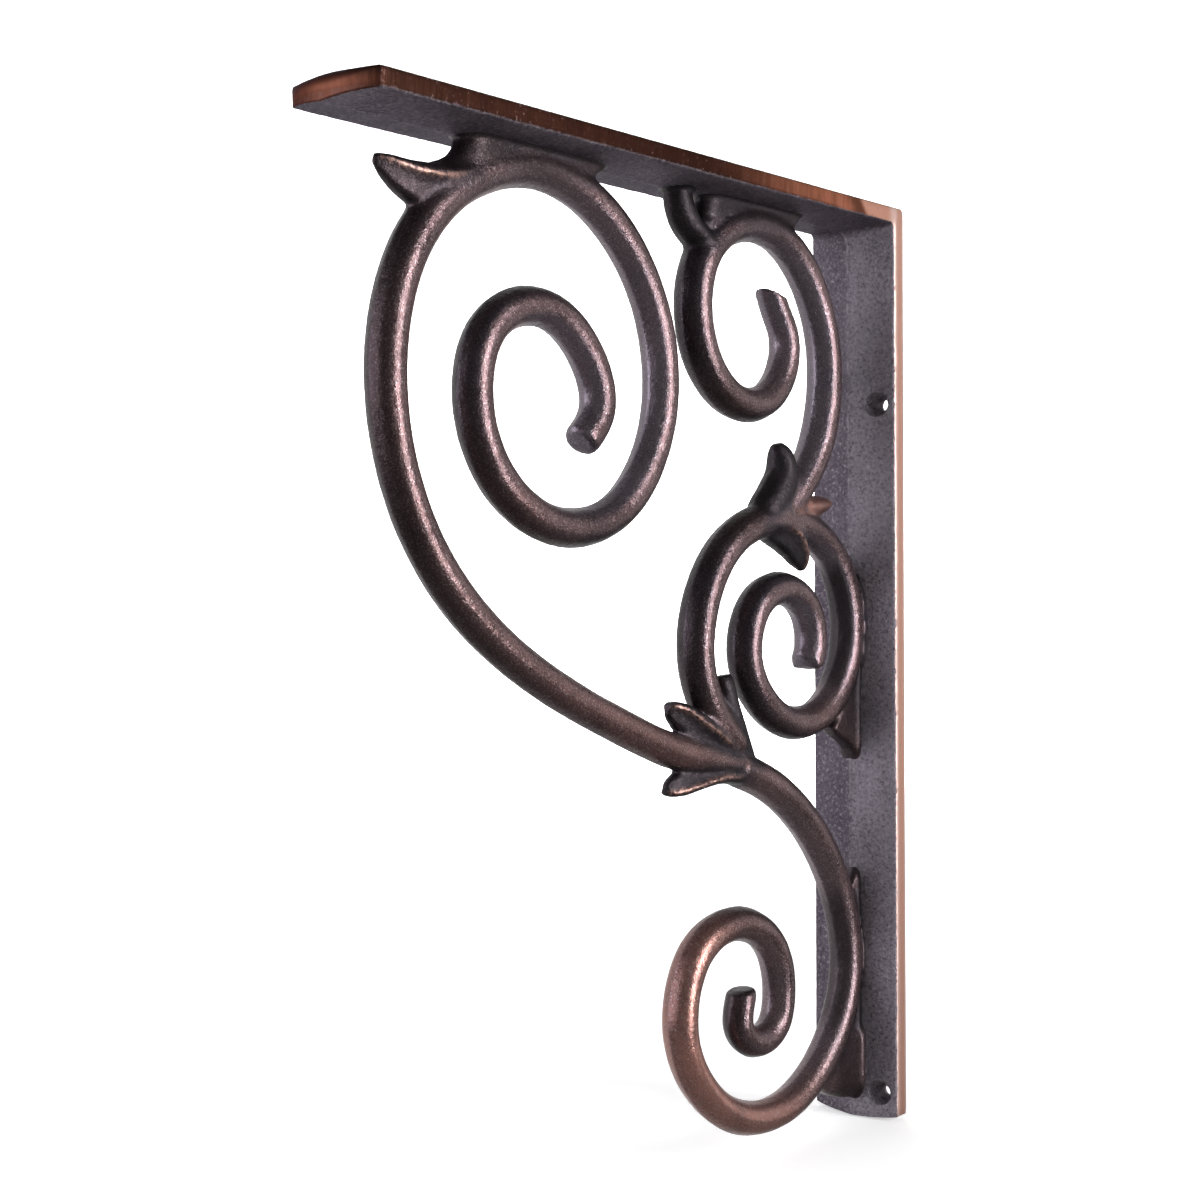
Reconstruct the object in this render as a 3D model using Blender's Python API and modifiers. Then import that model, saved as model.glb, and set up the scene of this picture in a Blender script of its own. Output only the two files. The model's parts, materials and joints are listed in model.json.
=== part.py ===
"""Cast-iron bar bracket: a wall plate and a top plate at right angles, joined by scrollwork.

The wall face lies on the plane Y = 0 with the origin at its middle, the bracket reaches out
towards -Y, and its width runs along X. All of it is one casting, alike on both sides of X = 0.
Points of the scrollwork are given as (reach from the wall, height above the top face) in mm.
"""
import math

import bmesh
import bpy
import numpy as np
from mathutils import Matrix

MM = 0.001

# overall sizes, in mm
HEIGHT = 356.0
REACH = 278.0
WIDTH = 38.1
END_BULGE = 6.0
FOOT_BULGE = 1.6

# plate thicknesses at the long edges and at the raised middle, in mm
TOP_EDGE = 6.5
TOP_RIDGE = 8.6
WALL_EDGE = 7.4
WALL_RIDGE = 10.6
CORNER_FILLET = 6.0
CORNER_ROUND = 2.2
EDGE_ROUND = 0.8
END_ROUND = 2.2
END_EASE = ((0.0, 1.0), (0.3, 0.3), (1.0, 0.0))
SHARP = 55.0
CREASE = 32.0
PLATE_STEPS = 6

# screw holes through the wall plate, in mm
HOLE_DIAMETER = 5.5
SINK_DIAMETER = 9.4
SINK_DEPTH = 2.6
HOLE_OFFSET = 12.4
HOLE_DROPS = (76.5, 347.0)
HOLE_STEPS = 20
CLEAR = 3.0

# bars: the longest station, the most they turn between stations, and the cross-section
STATION = 13.0
TURN = math.radians(12.5)
LEAF_STATION = 8.0
KNOT_STEP = math.radians(45.0)
SECTION = ((1.0, 0.0), (0.86, 0.45), (0.5, 0.84), (0.0, 1.0))
LEAF_SECTION = ((1.0, 0.0), (0.95, 0.5), (0.78, 0.88), (0.42, 1.0), (-0.05, 0.82), (-0.55, 0.64), (-0.9, 0.4), (-1.0, 0.0))
BLUNT = ((1.3, 0.96), (2.5, 0.82), (3.1, 0.6))

# each scroll: a stem, then radii about an eye at every eighth of a turn, then a tail
SCROLLS = {
    "large_scroll": {
        "stem": ((78.0, -213.4), (100.4, -209.4), (124.0, -204.5), (147.0, -196.3)),
        "eye": (193.0, -89.0), "start": -90.0, "way": 1,
        "radii": (87.0, 68.2, 65.9, 72.3, 76.0, 71.5, 62.0, 48.9, 35.9, 29.8, 29.5, 32.4, 32.1, 30.4, 29.1),
        "tail": ((166.6, -93.6), (170.2, -97.4)),
        "half_width": (6.5, 6.4, 6.6, 6.8, 6.7, 6.7, 6.7, 6.4), "depth_ratio": 1.0,
    },
    "upper_scroll": {
        "stem": ((60.0, -122.5), (46.5, -109.7), (35.6, -96.2), (28.9, -78.0)),
        "eye": (83.0, -52.0), "start": 180.0, "way": -1,
        "radii": (53.9, 44.6, 36.9, 31.9, 27.7, 26.7, 28.5, 30.2, 27.5),
        "tail": ((60.2, -44.6), (64.9, -39.8)),
        "half_width": (6.2, 6.9, 6.6, 6.5, 6.9, 6.9, 6.5, 5.3), "depth_ratio": 1.06,
    },
    "middle_scroll": {
        "stem": ((80.3, -210.7), (97.3, -197.5)),
        "eye": (54.0, -173.0), "start": 0.0, "way": 1,
        "radii": (56.2, 55.7, 50.4, 47.2, 40.3, 32.1, 25.7, 23.9, 26.9, 27.7, 24.2, 19.8, 15.3),
        "tail": ((40.7, -174.8),),
        "half_width": (6.5, 6.9, 6.8, 6.5, 6.4, 6.5, 6.7, 6.2), "depth_ratio": 1.05,
    },
    "lower_scroll": {
        "stem": ((87.0, -213.4), (66.4, -221.5), (49.5, -232.2)),
        "eye": (86.0, -304.0), "start": 135.0, "way": 1,
        "radii": (76.8, 70.7, 52.6, 37.4, 31.8, 34.1, 36.6, 33.5, 30.0, 25.5),
        "tail": ((62.6, -310.2), (74.8, -315.7), (85.7, -308.6), (84.2, -297.4)),
        "half_width": (7.0, 6.8, 6.4, 6.3, 6.4, 6.5, 6.4, 5.6), "depth_ratio": 1.03,
    },
}

# leaves where the bars part: the side their crest leans to, and the reach, height, half width
# and half depth at each station
LEAVES = {
    "large_leaf": (1, ((226.0, -21.0, 4.4, 6.2), (238.0, -25.8, 7.4, 6.6), (247.0, -25.9, 6.7, 6.2),
                       (253.4, -24.5, 5.2, 5.0), (258.7, -22.6, 3.8, 3.4), (262.0, -21.2, 2.4, 1.8),
                       (263.2, -20.6, 1.4, 0.9))),
    "upper_leaf": (1, ((104.0, -26.0, 4.6, 6.2), (111.4, -22.0, 4.8, 6.2), (116.7, -16.9, 5.9, 5.6),
                       (119.4, -10.5, 5.8, 5.2), (120.2, -5.0, 4.8, 4.8))),
    "joint_leaf_up": (1, ((76.5, -125.5, 4.4, 5.8), (67.0, -118.6, 7.6, 6.8), (60.0, -111.0, 7.4, 6.9),
                          (56.9, -104.0, 6.2, 6.4), (58.0, -98.2, 5.5, 5.2), (59.4, -95.1, 3.8, 3.4),
                          (59.8, -93.8, 2.0, 1.8))),
    "joint_leaf_side": (0, ((56.0, -119.0, 6.5, 5.8), (46.0, -118.0, 5.6, 6.0), (38.0, -117.0, 4.6, 5.6),
                            (30.5, -116.0, 2.5, 4.2), (24.9, -115.3, 0.8, 2.0))),
    "joint_leaf_down": (-1, ((72.5, -123.6, 4.6, 6.2), (62.0, -126.8, 5.8, 6.8), (53.0, -130.6, 6.0, 6.4),
                             (46.9, -136.2, 4.6, 4.8), (44.6, -140.0, 2.6, 2.8), (44.2, -141.6, 1.0, 1.2))),
    "stem_leaf_top": (1, ((92.0, -209.5, 6.0, 5.6), (104.0, -202.5, 6.0, 6.8), (113.5, -196.9, 5.7, 6.2),
                          (120.6, -192.4, 5.0, 5.0), (125.4, -190.2, 3.5, 3.4), (127.0, -189.6, 1.8, 1.8))),
    "stem_leaf_side": (1, ((89.6, -207.5, 3.2, 5.2), (92.8, -196.0, 4.3, 5.4), (93.6, -187.0, 4.8, 4.4),
                           (93.6, -181.0, 4.4, 3.4), (93.8, -179.2, 3.4, 2.0))),
    "stem_leaf_low": (-1, ((86.0, -214.2, 5.6, 5.6), (101.0, -213.4, 4.9, 6.6), (112.5, -214.9, 4.5, 6.0),
                           (120.6, -216.3, 4.5, 5.0), (126.4, -217.6, 3.1, 3.4), (128.4, -218.0, 1.6, 1.8))),
}

# webs between the scrollwork and the plates: an outline and a half depth
WEBS = {
    "large_arch_web": (((158.0, -4.0), (164.5, -10.6), (172.0, -14.0), (193.0, -13.0), (214.0, -18.0),
                        (235.0, -24.0), (233.8, -19.1), (228.4, -15.0), (223.8, -10.8), (222.0, -4.0)), 6.1),
    "upper_arch_web": (((44.0, -4.0), (50.0, -10.6), (54.0, -15.0), (72.0, -14.0), (96.0, -16.0),
                        (109.0, -21.0), (113.0, -14.0), (114.0, -4.0)), 6.1),
    "middle_web": (((4.0, -144.0), (10.6, -147.0), (16.0, -152.0), (16.0, -190.0), (27.0, -203.0),
                    (24.0, -205.6), (17.6, -208.6), (12.6, -212.0), (9.4, -217.0), (4.0, -219.0)), 4.6),
    "lower_web": (((4.0, -243.0), (10.6, -246.0), (17.0, -262.0), (20.0, -300.0), (34.0, -330.0), (42.0, -336.0),
                   (34.0, -342.6), (26.0, -346.6), (17.0, -349.0), (10.0, -351.0), (4.0, -352.0)), 4.8),
}


def world(reach, height, side=0.0):
    """Returns the place of a point of the scrollwork."""
    return (side * MM, -reach * MM, (height + HEIGHT / 2) * MM)


# turns a flat shape drawn in local X, Y into the plane of the scrollwork
PLANE = Matrix(((0, 0, -1, 0), (-1, 0, 0, 0), (0, 1, 0, HEIGHT / 2 * MM), (0, 0, 0, 1)))


def natural_spline(points):
    """Returns the chord lengths and a function giving place and direction on a natural cubic."""
    p = np.array(points, float)
    d = np.concatenate([[0.0], np.cumsum(np.linalg.norm(np.diff(p, axis=0), axis=1))])
    h = np.diff(d)
    n = len(p)
    a = np.eye(n)
    b = np.zeros_like(p)
    for i in range(1, n - 1):
        a[i, i - 1:i + 2] = (h[i - 1], 2 * (h[i - 1] + h[i]), h[i])
        b[i] = 6 * ((p[i + 1] - p[i]) / h[i] - (p[i] - p[i - 1]) / h[i - 1])
    m = np.linalg.solve(a, b)

    def at(s):
        i = int(np.clip(np.searchsorted(d, s) - 1, 0, n - 2))
        x, y = d[i + 1] - s, s - d[i]
        place = (m[i] * x ** 3 + m[i + 1] * y ** 3) / (6 * h[i])
        place = place + (p[i] / h[i] - m[i] * h[i] / 6) * x + (p[i + 1] / h[i] - m[i + 1] * h[i] / 6) * y
        slope = (m[i + 1] * y ** 2 - m[i] * x ** 2) / (2 * h[i]) + (p[i + 1] - p[i]) / h[i]
        slope = slope - (m[i + 1] - m[i]) * h[i] / 6
        return place, slope / np.linalg.norm(slope)

    return d, at


def scroll_knots(spec):
    """Returns the knots of one scroll: its stem, its turns about the eye and its tail."""
    knots = list(spec["stem"])
    for i, radius in enumerate(spec["radii"]):
        angle = spec["way"] * (math.radians(spec["start"]) + i * KNOT_STEP)
        knots.append((spec["eye"][0] + radius * math.cos(angle), spec["eye"][1] + radius * math.sin(angle)))
    return knots + list(spec["tail"])


def stations(at, length):
    """Walks along a line and stops wherever it has turned or run far enough."""
    out = [0.0]
    last = at(0.0)[1]
    fine = np.linspace(0.0, length, 1500)
    for s in fine[1:-1]:
        way = at(s)[1]
        if s - out[-1] > STATION or math.acos(min(1.0, float(way @ last))) > TURN:
            out.append(float(s))
            last = way
    if length - out[-1] < 2.0:
        out.pop()
    return out + [length]


def link(obj, group):
    """Puts a new object into a collection."""
    group.objects.link(obj)
    return obj


def curve_to_mesh(curve, name, group):
    """Turns a curve object into a closed mesh object standing in its place."""
    bpy.context.view_layer.update()
    shape = curve.evaluated_get(bpy.context.evaluated_depsgraph_get())
    mesh = bpy.data.meshes.new_from_object(shape)
    mesh.transform(curve.matrix_world)
    data = curve.data
    bpy.data.objects.remove(curve)
    bpy.data.curves.remove(data)
    bm = bmesh.new()
    bm.from_mesh(mesh)
    bmesh.ops.remove_doubles(bm, verts=bm.verts, dist=1e-6)
    bmesh.ops.recalc_face_normals(bm, faces=bm.faces)
    bm.to_mesh(mesh)
    bm.free()
    mesh.name = name
    return link(bpy.data.objects.new(name, mesh), group)


def section_loop(crest=0):
    """Returns the closed cross-section of a bar, or of a leaf whose crest leans to one side."""
    near = list(SECTION) + [(-x, y) for x, y in reversed(SECTION[:-1])]
    if crest:
        near = [(crest * x, y) for x, y in LEAF_SECTION]
    return near + [(x, -y) for x, y in reversed(near[1:-1])]


def make_bar(name, spec, group):
    """Sweeps the bar's cross-section along one scroll, with a blunt end to its tail."""
    d, at = natural_spline(scroll_knots(spec))
    stops = stations(at, d[-1])
    widths = spec["half_width"]
    marks = np.linspace(0.0, d[-1], len(widths))
    rows = []
    for s in stops:
        place, _ = at(s)
        rows.append((place, float(np.interp(s, marks, widths))))
    end, way = at(d[-1])
    for ahead, share in BLUNT:
        rows.append((end + way * ahead, widths[-1] * share))
    profile = bpy.data.curves.new(name + "_section", "CURVE")
    spline = profile.splines.new("POLY")
    loop = section_loop()
    spline.points.add(len(loop) - 1)
    for point, (x, y) in zip(spline.points, loop):
        point.co = (x * MM, y * spec["depth_ratio"] * MM, 0.0, 1.0)
    spline.use_cyclic_u = True
    shape = link(bpy.data.objects.new(name + "_section", profile), group)
    line = bpy.data.curves.new(name + "_line", "CURVE")
    line.dimensions = "3D"
    line.twist_mode = "Z_UP"
    line.bevel_mode = "OBJECT"
    line.bevel_object = shape
    line.use_fill_caps = True
    spline = line.splines.new("POLY")
    spline.points.add(len(rows) - 1)
    for point, (place, radius) in zip(spline.points, rows):
        point.co = (place[0] * MM, place[1] * MM, 0.0, 1.0)
        point.radius = radius
    bar = link(bpy.data.objects.new(name + "_line", line), group)
    bar.matrix_world = PLANE
    bar = curve_to_mesh(bar, name, group)
    bpy.data.objects.remove(shape)
    bpy.data.curves.remove(profile)
    return bar


def make_leaf(name, crest, rows, group):
    """Lofts a leaf through unlike cross-sections, smoothly from root to tip."""
    d, at = natural_spline([row[:2] for row in rows])
    stops = [float(s) for s in d]
    stops = sorted(stops + [(a + b) / 2 for a, b in zip(stops, stops[1:]) if b - a > LEAF_STATION])
    loop = section_loop(crest)
    bm = bmesh.new()
    rings = []
    for s in stops:
        place, way = at(s)
        half_width = float(np.interp(s, d, [row[2] for row in rows]))
        half_depth = float(np.interp(s, d, [row[3] for row in rows]))
        ring = []
        for x, y in loop:
            reach = place[0] - way[1] * x * half_width
            height = place[1] + way[0] * x * half_width
            ring.append(bm.verts.new(world(reach, height, y * half_depth)))
        rings.append(ring)
    for low, high in zip(rings, rings[1:]):
        for i in range(len(loop)):
            j = (i + 1) % len(loop)
            bm.faces.new((low[i], low[j], high[j], high[i]))
    bm.faces.new(rings[0])
    bm.faces.new(rings[-1])
    bmesh.ops.recalc_face_normals(bm, faces=bm.faces)
    mesh = bpy.data.meshes.new(name)
    bm.to_mesh(mesh)
    bm.free()
    return link(bpy.data.objects.new(name, mesh), group)


def make_slab(name, outline, half_depth, place, group):
    """Fills a flat outline and thickens it by the half depth to both sides."""
    flat = bpy.data.curves.new(name, "CURVE")
    flat.dimensions = "2D"
    flat.fill_mode = "BOTH"
    flat.extrude = half_depth * MM
    spline = flat.splines.new("POLY")
    spline.points.add(len(outline) - 1)
    for point, (x, y) in zip(spline.points, outline):
        point.co = (x * MM, y * MM, 0.0, 1.0)
    spline.use_cyclic_u = True
    slab = link(bpy.data.objects.new(name, flat), group)
    slab.matrix_world = place
    return curve_to_mesh(slab, name, group)


def apply_modifiers(obj):
    """Bakes an object's modifiers into its mesh."""
    bpy.context.view_layer.update()
    mesh = bpy.data.meshes.new_from_object(obj.evaluated_get(bpy.context.evaluated_depsgraph_get()))
    obj.modifiers.clear()
    old = obj.data
    obj.data = mesh
    bpy.data.meshes.remove(old)


def combine(target, tool, way):
    """Joins a tool to the target, cuts it away, or keeps what the two share."""
    mod = target.modifiers.new(tool.name, "BOOLEAN")
    mod.operation = way
    mod.solver = "EXACT"
    mod.object = tool
    apply_modifiers(target)
    mesh = tool.data
    bpy.data.objects.remove(tool)
    bpy.data.meshes.remove(mesh)


def plate_depth(side, edge, ridge):
    """Returns a plate's thickness at a place across its width."""
    return ridge + (edge - ridge) * abs(side) / (WIDTH / 2)


def round_edges(bm, edges, radius, segments):
    """Rounds the given edges."""
    bmesh.ops.bevel(bm, geom=edges, offset=radius * MM, offset_type="OFFSET", segments=segments,
                    profile=0.5, affect="EDGES", clamp_overlap=True)


def bowed(side, length, bulge):
    """Returns how far an end bowed out in an arc reaches at a place across its width."""
    half = WIDTH / 2
    radius = (half ** 2 + bulge ** 2) / (2 * bulge)
    return length + bulge - radius + math.sqrt(radius ** 2 - side ** 2)


def make_plates(group):
    """Builds the wall plate and the top plate as one angle, thickest along its middle."""
    sides = np.linspace(-WIDTH / 2, WIDTH / 2, PLATE_STEPS + 1)
    bm = bmesh.new()
    rings = [[] for _ in range(len(END_EASE) + 2)]
    for inner, row in ((False, sides), (True, sides[::-1])):
        for x in row:
            top = plate_depth(x, TOP_EDGE, TOP_RIDGE) if inner else 0.0
            wall = plate_depth(x, WALL_EDGE, WALL_RIDGE) if inner else 0.0
            reach = bowed(x, REACH, END_BULGE)
            for ring, (back, down) in zip(rings, END_EASE):
                drop = top if inner else down * END_ROUND
                ring.append(bm.verts.new(world(reach - back * END_ROUND, -drop, x)))
            rings[-2].append(bm.verts.new(world(wall, -top, x)))
            rings[-1].append(bm.verts.new(world(wall, -bowed(x, HEIGHT, FOOT_BULGE), x)))
    count = 2 * len(sides)
    for low, high in zip(rings, rings[1:]):
        for i in range(count):
            j = (i + 1) % count
            bm.faces.new((low[i], low[j], high[j], high[i]))
    for ring in (rings[0], rings[-1]):
        for i in range(PLATE_STEPS):
            bm.faces.new((ring[i], ring[i + 1], ring[count - 2 - i], ring[count - 1 - i]))
    bmesh.ops.recalc_face_normals(bm, faces=bm.faces)
    hollow = set(rings[-2][count // 2:])
    corner = set(rings[-2][:count // 2])
    round_edges(bm, [e for e in bm.edges if set(e.verts) <= hollow], CORNER_FILLET, 3)
    corner = set(v for v in corner if v.is_valid)
    round_edges(bm, [e for e in bm.edges if set(e.verts) <= corner], CORNER_ROUND, 3)
    sharp = [e for e in bm.edges if e.calc_face_angle(0.0) > math.radians(SHARP)]
    round_edges(bm, sharp, EDGE_ROUND, 2)
    mesh = bpy.data.meshes.new("plates")
    bm.to_mesh(mesh)
    bm.free()
    return link(bpy.data.objects.new("plates", mesh), group)


def make_hole(name, side, drop, group):
    """Turns the tool that cuts one countersunk screw hole."""
    slope = (WALL_RIDGE - WALL_EDGE) / (WIDTH / 2)
    face = WALL_RIDGE - slope * abs(side)
    grow = (SINK_DIAMETER - HOLE_DIAMETER) / 2 / SINK_DEPTH
    throat = HOLE_DIAMETER / 2
    profile = ((0.0, -CLEAR), (throat, -CLEAR), (throat, face - SINK_DEPTH),
               (SINK_DIAMETER / 2 + grow * CLEAR, face + CLEAR), (0.0, face + CLEAR))
    mesh = bpy.data.meshes.new(name)
    mesh.from_pydata([(x * MM, -y * MM, 0.0) for x, y in profile],
                     [(i, i + 1) for i in range(len(profile) - 1)], [])
    drill = link(bpy.data.objects.new(name, mesh), group)
    turn = drill.modifiers.new("turn", "SCREW")
    turn.axis = "Y"
    turn.angle = math.radians(360)
    turn.steps = HOLE_STEPS
    turn.render_steps = HOLE_STEPS
    turn.use_merge_vertices = True
    turn.merge_threshold = 0.00001
    turn.use_normal_calculate = True
    apply_modifiers(drill)
    bm = bmesh.new()
    bm.from_mesh(drill.data)
    bmesh.ops.remove_doubles(bm, verts=bm.verts, dist=1e-6)
    bmesh.ops.recalc_face_normals(bm, faces=bm.faces)
    bm.transform(Matrix.Translation(world(0.0, -drop, side)))
    bm.to_mesh(drill.data)
    bm.free()
    return drill


def iron():
    """Returns the dark bronzed iron of the casting."""
    mat = bpy.data.materials.new("bronzed_cast_iron")
    mat.use_nodes = True
    shader = mat.node_tree.nodes["Principled BSDF"]
    shader.inputs["Base Color"].default_value = (0.050, 0.038, 0.036, 1.0)
    shader.inputs["Metallic"].default_value = 0.85
    shader.inputs["Roughness"].default_value = 0.42
    return mat


def build():
    """Builds the bracket."""
    for obj in list(bpy.data.objects):
        bpy.data.objects.remove(obj)
    solids = bpy.data.collections.new("bar_bracket")
    bpy.context.scene.collection.children.link(solids)
    cutters = bpy.data.collections.new("cutters")
    bpy.context.scene.collection.children.link(cutters)
    cutters.hide_render = True
    bracket = make_plates(solids)
    for name, (outline, half_depth) in WEBS.items():
        combine(bracket, make_slab(name, outline, half_depth, PLANE, solids), "UNION")
    for name, spec in SCROLLS.items():
        combine(bracket, make_bar(name, spec, solids), "UNION")
    for name, (crest, rows) in LEAVES.items():
        combine(bracket, make_leaf(name, crest, rows, solids), "UNION")
    for drop in HOLE_DROPS:
        for side in (-HOLE_OFFSET, HOLE_OFFSET):
            hole = make_hole("screw_hole", side, drop, cutters)
            combine(bracket, hole, "DIFFERENCE")
    bracket.name = "bracket"
    bracket.data.name = "bracket"
    bracket.data.materials.clear()
    bracket.data.materials.append(iron())
    bracket.data.shade_smooth()
    bracket.data.set_sharp_from_angle(angle=math.radians(CREASE))


build()
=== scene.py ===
"""Bar bracket in dark bronzed cast iron, in a pale studio.

One casting: two plates at right angles with scrollwork between them, alike on both sides of
X = 0. Shapes are worked out in mm as (reach from the wall, height above the top face, side),
and the wall face lies on Y = 0 with the bracket reaching out towards -Y.
"""
import json
import math

import bmesh
import bpy
import numpy as np
from mathutils import Matrix, Vector, noise
from mathutils.kdtree import KDTree

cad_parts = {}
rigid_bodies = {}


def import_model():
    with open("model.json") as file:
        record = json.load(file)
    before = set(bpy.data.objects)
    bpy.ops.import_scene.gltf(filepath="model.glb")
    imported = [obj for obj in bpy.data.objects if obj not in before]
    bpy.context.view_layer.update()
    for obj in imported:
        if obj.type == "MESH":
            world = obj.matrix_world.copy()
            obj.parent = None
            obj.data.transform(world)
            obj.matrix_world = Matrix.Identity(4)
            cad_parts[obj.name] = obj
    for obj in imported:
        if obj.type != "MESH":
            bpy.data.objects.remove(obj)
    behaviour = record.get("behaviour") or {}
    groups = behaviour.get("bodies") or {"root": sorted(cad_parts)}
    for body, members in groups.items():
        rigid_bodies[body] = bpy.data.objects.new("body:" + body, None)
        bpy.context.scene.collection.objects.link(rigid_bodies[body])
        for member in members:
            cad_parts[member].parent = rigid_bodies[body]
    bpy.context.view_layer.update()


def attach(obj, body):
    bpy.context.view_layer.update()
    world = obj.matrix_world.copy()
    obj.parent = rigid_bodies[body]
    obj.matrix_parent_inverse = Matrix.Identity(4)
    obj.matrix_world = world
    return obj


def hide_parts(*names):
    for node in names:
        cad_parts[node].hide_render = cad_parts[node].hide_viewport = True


MM = 0.001

# overall sizes, in mm
HEIGHT = 356.0
REACH = 278.0
WIDTH = 38.1
HALF = WIDTH / 2
END_BULGE = 6.0
FOOT_BULGE = 1.6

# plate thicknesses at the long edges and at the raised middle, in mm
TOP_EDGE = 6.5
TOP_RIDGE = 8.6
WALL_EDGE = 7.4
WALL_RIDGE = 10.6
CORNER_FILLET = 6.0
EDGE_FILLET_CUT = 4.0
CORNER_ROUND = 2.2
EDGE_ROUND = 0.8
CORNER_RUN = 24.0

# mesh density of the plates: steps across, stations along in mm, steps round an edge
ACROSS = 24
ALONG = 1.5
EDGE_STEPS = 3
SIDE_STEPS = 4

# screw holes through the wall plate, in mm
HOLE_DIAMETER = 5.5
SINK_DIAMETER = 9.4
SINK_DEPTH = 2.6
HOLE_OFFSET = 12.4
HOLE_DROPS = (76.5, 347.0)
HOLE_STEPS = 56

# scrollwork mesh: spacing of the rings and voxel size in mm, the round starts of the bars, and the
# cross-sections of a bar and of a leaf as shares of their half width and half depth
RING = 1.2
VOXEL = 0.68
MOST_TRIANGLES = 190000
KNOT_STEP = math.radians(45.0)
START_TURNS = (0.25, 0.55, 0.85, 1.2)
START_REACH = 0.7
SECTION = ((1.0, 0.0), (0.935, 0.22), (0.85, 0.45), (0.71, 0.67), (0.5, 0.85), (0.26, 0.955), (0.0, 1.0))
LEAF_SECTION = ((1.0, 0.0), (0.985, 0.3), (0.94, 0.55), (0.82, 0.8), (0.64, 0.94), (0.42, 1.0),
                (0.28, 0.88), (0.08, 0.76), (-0.2, 0.66), (-0.5, 0.6), (-0.74, 0.54), (-0.9, 0.42),
                (-0.98, 0.22), (-1.0, 0.0))

# each scroll: a stem, then radii about an eye at every eighth of a turn, then a tail. Its end is
# given as reach ahead, slant, and shares of the width and of the depth.
SCROLLS = {
    "large_scroll": {
        "stem": ((88.5, -211.8), (100.4, -209.4), (124.0, -204.5), (147.0, -196.3)),
        "eye": (193.0, -89.0), "start": -90.0, "way": 1,
        "radii": (87.0, 68.2, 65.9, 72.3, 76.0, 71.5, 62.0, 48.9, 35.9, 29.8, 29.5, 32.4, 32.1, 30.4, 29.1),
        "tail": ((166.6, -93.6), (170.2, -97.4)),
        "end": ((1.6, 0.0, 0.97, 0.97), (2.7, 0.0, 0.85, 0.86), (3.2, 0.0, 0.68, 0.7)),
        "half_width": (6.5, 6.4, 6.6, 6.8, 6.7, 6.7, 6.7, 6.4), "depth_ratio": 1.0,
        "rub": (0.6, 0.7, 0.65, 0.55, 0.5, 0.45, 0.3, 0.35, 0.25, 0.1, 0.05, 0.6, 0.1, 0.2, 0.1),
    },
    "upper_scroll": {
        "stem": ((60.0, -122.5), (46.5, -109.7), (35.6, -96.2), (28.9, -78.0)),
        "eye": (83.0, -52.0), "start": 180.0, "way": -1,
        "radii": (53.9, 44.6, 36.9, 31.9, 27.7, 26.7, 28.5, 30.2, 27.5),
        "tail": ((59.8, -45.0), (63.0, -39.6)),
        "end": ((-0.8, -0.8, 1.0, 1.0), (0.0, -1.15, 0.98, 0.98), (0.6, -1.2, 0.86, 0.88)),
        "half_width": (6.2, 6.9, 6.6, 6.5, 6.9, 6.9, 6.5, 5.3), "depth_ratio": 1.06,
        "rub": (0.3, 0.1, 0.05, 0.1, 0.3, 0.1, 0.1, 0.5, 0.3, 0.1),
    },
    "middle_scroll": {
        "stem": ((89.6, -203.8), (97.3, -197.5)),
        "eye": (54.0, -173.0), "start": 0.0, "way": 1,
        "radii": (56.2, 55.7, 50.4, 47.2, 40.3, 32.1, 25.7, 23.9, 26.9, 27.7, 24.2, 19.8, 15.3),
        "tail": ((39.6, -175.2),),
        "end": ((0.8, 0.0, 1.0, 1.0), (2.4, 0.0, 0.7, 0.98), (3.9, 0.0, 0.26, 0.9)),
        "half_width": (6.5, 6.9, 6.8, 6.5, 6.4, 6.5, 6.7, 6.2), "depth_ratio": 1.05,
        "rub": (0.6, 0.3, 0.1, 0.6, 0.3, 0.05, 0.1, 0.6, 0.3, 0.1, 0.1, 0.1),
    },
    "lower_scroll": {
        "stem": ((87.0, -213.4), (66.4, -221.5), (49.5, -232.2)),
        "eye": (86.0, -304.0), "start": 135.0, "way": 1,
        "radii": (76.8, 70.7, 52.6, 37.4, 31.8, 34.1, 36.6, 33.5, 30.0, 25.5),
        "tail": ((62.6, -310.2), (74.8, -315.7), (85.7, -308.6), (84.2, -297.4)),
        "end": ((0.8, 0.2, 0.98, 0.98), (2.0, 0.4, 0.85, 0.9), (2.8, 0.45, 0.66, 0.7)),
        "half_width": (7.0, 6.8, 6.4, 6.3, 6.4, 6.5, 6.4, 5.6), "depth_ratio": 1.03,
        "rub": (0.6, 0.5, 0.4, 0.3, 0.35, 0.8, 0.9, 0.95, 0.8, 0.5, 0.4, 0.3),
    },
}

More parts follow.
